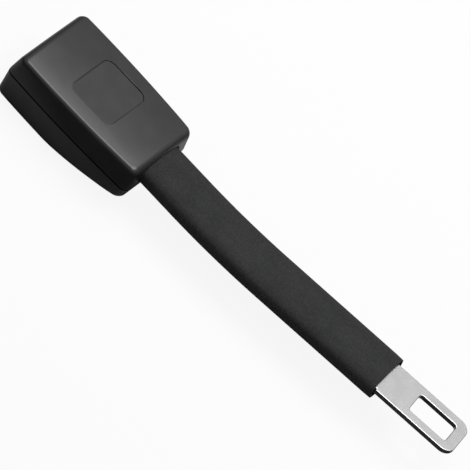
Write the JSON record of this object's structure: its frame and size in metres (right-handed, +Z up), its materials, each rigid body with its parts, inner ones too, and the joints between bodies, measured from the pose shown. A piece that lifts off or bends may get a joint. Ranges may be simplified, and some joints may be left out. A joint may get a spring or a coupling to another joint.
{
  "type": "seat belt extender",
  "caption": "Rigid seat belt extender: push-button buckle in a moulded housing, a stiff cable arm in a flat oval sleeve bent slightly sideways, and a slotted steel tongue.",
  "frame": {"origin": "middle of the flat part of the buckle's underside", "axes": "+X from the button end to the tongue, +Z up through the buckle's top face, +Y to the side that the arm bends towards"},
  "size_m": [0.251, 0.0531, 0.026],
  "materials": {
    "cover_plastic": "fine satin grain",
    "button_plastic": "smooth",
    "ejector_plastic": "natural",
    "plated_steel": "zinc plated",
    "bright_steel": "turned",
    "tongue_steel": "satin bright plate",
    "spring_wire": "drawn wire",
    "cable_cover": "smooth",
    "sleeve_plastic": "satin extruded"
  },
  "bodies": {
    "base": {"upper_cover": "cover_plastic", "lower_cover": "cover_plastic", "buckle_frame": "plated_steel", "latch_pin": "bright_steel", "latch_spring": "spring_wire", "ejector_spring": "spring_wire", "button_spring_left": "spring_wire", "button_spring_right": "spring_wire", "cable_clamp_buckle": "plated_steel", "cable_clamp_tongue": "plated_steel", "rivet_buckle_left": "bright_steel", "rivet_buckle_right": "bright_steel", "rivet_tongue_left": "bright_steel", "rivet_tongue_right": "bright_steel", "cable_left": "cable_cover", "cable_right": "cable_cover", "arm_sleeve": "sleeve_plastic", "tongue": "tongue_steel"},
    "button": {"release_button": "button_plastic"},
    "latch": {"latch": "plated_steel"},
    "ejector": {"ejector": "ejector_plastic"}
  },
  "joints": [
    {"name": "button_slide", "type": "slide", "parent": "base", "child": "button", "axis": [1, 0, 0], "range_m": [0, 0.006], "stiffness_N_per_m": 300, "springref_m": -0.003, "deforming": ["button_spring_left", "button_spring_right"]},
    {"name": "latch_pivot", "type": "hinge", "parent": "base", "child": "latch", "pos_m": [0.0275, 0, 0.01335], "axis": [0, -1, 0], "range_deg": [0, 14], "deforming": ["latch_spring"]},
    {"name": "ejector_slide", "type": "slide", "parent": "base", "child": "ejector", "axis": [1, 0, 0], "range_m": [0, 0.006], "stiffness_N_per_m": 200, "springref_m": -0.003, "deforming": ["ejector_spring"]}
  ],
  "couplings": [
    {"joint": "latch_pivot", "follows": "button_slide", "rad_per_m": 40.72}
  ]
}
